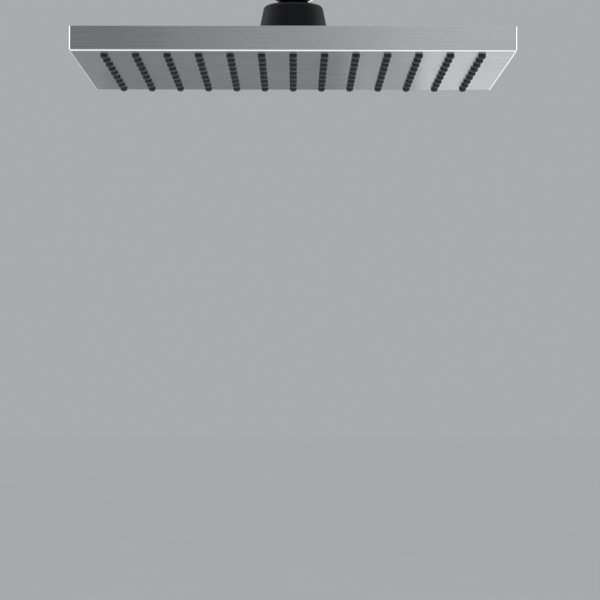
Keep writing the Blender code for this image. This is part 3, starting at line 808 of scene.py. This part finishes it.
floor_z = spray_face + SPRAY_THICKNESS
seat_z = cover_low.z - COVER_GAP
rim_x, rim_y = shell_high.x - RIM, shell_high.y - RIM
wall_x, wall_y = shell_high.x - WALL, shell_high.y - WALL
hole_profile = np.array([
    (HOLE_RADIUS + HOLE_LIP, spray_face),
    (HOLE_RADIUS + HOLE_LIP * 0.3, spray_face + HOLE_LIP * 0.3),
    (HOLE_RADIUS, spray_face + HOLE_LIP),
    (HOLE_RADIUS, floor_z),
])
shell_points, shell_faces = whole_plate(
    hole_profile, PITCH / 2,
    [
        *rounded_edge(shell_high, EDGE_RADIUS, EDGE_RADIUS, spray_face, 1, 9),
        *rounded_edge(shell_high, EDGE_RADIUS, RIM_ROUNDING, shell_high.z, -1, 4)[::-1],
        (rim_x, rim_y, INSIDE_CORNER, shell_high.z),
        (rim_x, rim_y, INSIDE_CORNER, seat_z),
        (wall_x, wall_y, INSIDE_CORNER, seat_z),
        (wall_x, wall_y, INSIDE_CORNER, floor_z),
    ],
)


def posts(places, bottom, top, sides=24):
    """Short tubes that stand in the shell for its screws: one ring outline at every place.
    Returns points and faces."""
    outline = np.array(
        [(POST_RADIUS, top), (POST_RADIUS, bottom), (POST_BORE, bottom), (POST_BORE, top)]
    )
    one = carried_round(outline, sides)
    places = np.concatenate([places, np.zeros((len(places), 1))], -1)
    first = np.arange(len(places))[:, None, None] * sides * len(outline)
    faces = grid_faces(sides, len(outline), close_rows=True)[None] + first
    return (one + places[:, None, None]).reshape(-1, 3), faces.reshape(-1, 4)


boxes = np.array([[list(corner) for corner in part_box(screw)] for screw in LID_SCREWS])
post_points, post_faces = posts(boxes.mean(axis=1)[:, :2], floor_z - POST_ROOT, mat_high.z)
shell = finished_piece(
    "steel_lower_shell", np.concatenate([shell_points, post_points]),
    np.concatenate([shell_faces, post_faces + len(shell_points)]), STEEL, "head",
    "lower_shell", sharp=35,
)


def mark_polish(piece):
    """Writes 'polish': 1 on the bright-cut rounding of the short lower edges and the upright
    edges, where a point is on the rounded part of the box and not on its flat faces, 1 on
    the middle of the rounding of the long lower edges, where the cut is narrower, 1 inside
    the nozzle holes, where the punch has burnished their lips, and 0 elsewhere."""
    mesh = piece.data
    at = np.empty(len(mesh.vertices) * 3, np.float32)
    mesh.vertices.foreach_get("co", at)
    at = at.reshape(-1, 3)
    inward = np.array([shell_high.x, shell_high.y]) - np.abs(at[:, :2])
    upward = at[:, 2] - spray_face
    near = 1e-5
    deep = EDGE_RADIUS - near
    outside = (inward.min(1) < deep) & (at[:, 2] < shell_high.z - RIM_ROUNDING + near)
    upright = (inward < deep).all(1)
    short_edge = (inward[:, 0] < deep) & (upward < deep)
    long_edge = np.maximum(inward[:, 1], upward) < LONG_CUT_SHARE * EDGE_RADIUS
    holes = (inward.min(1) > WALL) & (upward > near) & (upward < SPRAY_THICKNESS - near)
    marks = (outside & (upright | short_edge | long_edge) | holes).astype(np.float32)
    mesh.attributes.new("polish", "FLOAT", "POINT").data.foreach_set("value", marks)


mark_polish(shell)

# ---- Screws --------------------------------------------------------------------------
# Twelve screws hold the lid down on the shell's posts, and four longer ones with wider
# heads hold the socket to the lid. Headed and rolled from stainless wire.

SCREW_PITCH = 0.0006
SCREW_THREAD_DEPTH = 0.3 * SCREW_PITCH
SCREW_THREAD_GAP = 0.0003
SCREW_POINT = 0.0004
DRIVE_WIDTH_SHARE = 0.45
DRIVE_DEPTH_SHARE = 0.6
DRIVE_EDGE = 0.0001
SOCKET_SCREWS = [f"socket_screw_{number}" for number in range(1, 5)]


def screw_surface(low, high, head_radius, head_height, shank, sides=24, thread_rows=60):
    """Closed at both poles: the hexagon drive socket, the domed head and the shank, whose
    thread is a saw of the height less the turn's share of the pitch, carried round the
    axis through the middle of its box."""
    under = high.z - head_height
    drive_floor = high.z - head_height * DRIVE_DEPTH_SHARE
    to_flat = (angles_round(sides) + np.pi / 6) % (np.pi / 3) - np.pi / 6
    drive = head_radius * DRIVE_WIDTH_SHARE / np.cos(to_flat)
    head = outlines(
        [
            (0, drive_floor - 2 * DRIVE_EDGE), (drive, drive_floor), (drive, high.z),
            (drive + DRIVE_EDGE, high.z), (head_radius * 0.8, high.z),
            (head_radius * 0.95, high.z - head_height * 0.2),
            (head_radius, high.z - head_height * 0.5), (head_radius, under), (shank, under),
        ],
        sides,
    )
    z = np.linspace(under - SCREW_THREAD_GAP, low.z + SCREW_POINT, thread_rows)
    radius = shank - thread_saw(z, SCREW_PITCH, sides) * SCREW_THREAD_DEPTH
    thread = np.stack([radius, np.broadcast_to(z, radius.shape)], -1)
    point = outlines([(shank * 0.6, low.z), (0, low.z)], sides)
    axis = np.array([(low.x + high.x) / 2, (low.y + high.y) / 2, 0])
    return carried_round(np.concatenate([head, thread, point], 1), sides) + axis


def make_screws(nodes, piece, head_radius, head_height, shank):
    """One screw in the box of each node, named after the piece and numbered."""
    for number, node in enumerate(nodes, 1):
        grid = screw_surface(*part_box(node), head_radius, head_height, shank)
        finished_piece(f"{piece}_{number}", grid, grid_faces(*grid.shape[:2]), SCREW_STEEL,
                       "head", node)


make_screws(LID_SCREWS, "lid_socket_head_screw", 0.0023, 0.0014, 0.0011)
make_screws(SOCKET_SCREWS, "socket_head_screw", 0.0026, 0.0016, 0.0013)

# ---- Floor, light and camera ---------------------------------------------------------
# A pale matt floor far below the head, in grey surroundings. Soft panels light the head:
# two in front, one on each side, three behind, one under it and one overhead.

FLOOR_Z = -1.55
FLOOR_HALF = 40


def floor_paint():
    """Pale matt floor paint, a little uneven."""
    material, tree = started_material("floor_paint")
    cloud = noise(tree, 1.5, 3)
    shade(tree, {
        "Specular IOR Level": 0.2,
        "Base Color": blended(tree, cloud, (0.66, 0.66, 0.65), (0.7, 0.7, 0.69)),
        "Roughness": 0.75,
    })
    return material


floor_corners = [(-FLOOR_HALF, -FLOOR_HALF, FLOOR_Z), (FLOOR_HALF, -FLOOR_HALF, FLOOR_Z),
                 (FLOOR_HALF, FLOOR_HALF, FLOOR_Z), (-FLOOR_HALF, FLOOR_HALF, FLOOR_Z)]
floor_mesh = bpy.data.meshes.new("studio_floor")
floor_mesh.from_pydata(floor_corners, [], [(0, 1, 2, 3)])
floor_mesh.materials.append(floor_paint())
floor = bpy.data.objects.new("studio_floor", floor_mesh)
bpy.context.scene.collection.objects.link(floor)


def studio_world(front, back, overhead):
    """Grey surroundings: from the front's brightness to the back's as the direction turns
    from -Y to +Y, and on to the brightness overhead as it rises."""
    world = bpy.data.worlds.new("studio")
    world.use_nodes = True
    tree = world.node_tree
    direction = added(tree, "ShaderNodeTexCoord", {})["Generated"]
    split = added(tree, "ShaderNodeSeparateXYZ", {"Vector": direction})
    around = spread(tree, split["Y"], front, back, -0.7, 0.7)
    rise = spread(tree, split["Z"], 0, 1, 0.2, 0.5)
    brightness = mixed(tree, "FLOAT", rise, around, overhead)
    feed(tree, tree.nodes["Background"], {"Color": (0.93, 0.97, 1, 1), "Strength": brightness})
    bpy.context.scene.world = world


studio_world(0.14, 0.42, 0.64)


def panel(name, middle, facing, size, brightness):
    """A soft rectangular panel of even brightness at a point, facing a direction."""
    lamp = bpy.data.lights.new(name, "AREA")
    lamp.shape = "RECTANGLE"
    lamp.size, lamp.size_y = size
    lamp.energy = brightness * math.pi * size[0] * size[1]
    lamp_object = bpy.data.objects.new(name, lamp)
    lamp_object.location = middle
    lamp_object.rotation_euler = Vector(facing).to_track_quat("-Z", "Y").to_euler()
    bpy.context.scene.collection.objects.link(lamp_object)


panel("left_panel", (-1.6, -0.05, 0.15), (1, 0, 0), (2.5, 1.3), 1.25)
panel("right_panel", (1.6, -0.05, 0.15), (-1, 0, 0), (2.5, 1.3), 1.25)
panel("front_panel", (-0.063, -2.4, 0.4), (0, 1, 0), (0.322, 1.6), 0.25)
panel("front_right_panel", (0.549, -2.4, 0.4), (0, 1, 0), (0.902, 1.6), 0.67)
panel("back_middle_panel", (0.167, 2.5, -0.35), (0, -1, 0), (0.134, 1.3), 0.7)
panel("back_right_panel", (0.867, 2.5, -0.35), (0, -1, 0), (1.266, 1.3), 2.2)
panel("back_left_panel", (-0.65, 2.5, 0.0), (0, -1, 0), (0.6, 0.7), 1.2)
panel("under_panel", (0, -0.1, -1.0), (0, 0, 1), (3.0, 1.8), 0.4)
panel("top_panel", (0, 0, 3.0), (0, 0, -1), (6, 6), 0.5)

# The camera looks slightly up at the head, turned and rolled by a fraction of a degree.

camera_data = bpy.data.cameras.new("camera")
camera_data.sensor_width = 36
camera_data.lens = 129.86
camera_data.clip_start = 0.05
camera_data.clip_end = 200
camera = bpy.data.objects.new("camera", camera_data)
camera.location = (0.0014, -cover_high.y - 1.441, spray_face - 0.2135)
camera.rotation_euler = (math.radians(90 + 1.875), math.radians(-0.08), math.radians(-0.14))
bpy.context.scene.collection.objects.link(camera)
bpy.context.scene.camera = camera
bpy.context.scene.view_settings.view_transform = "Standard"
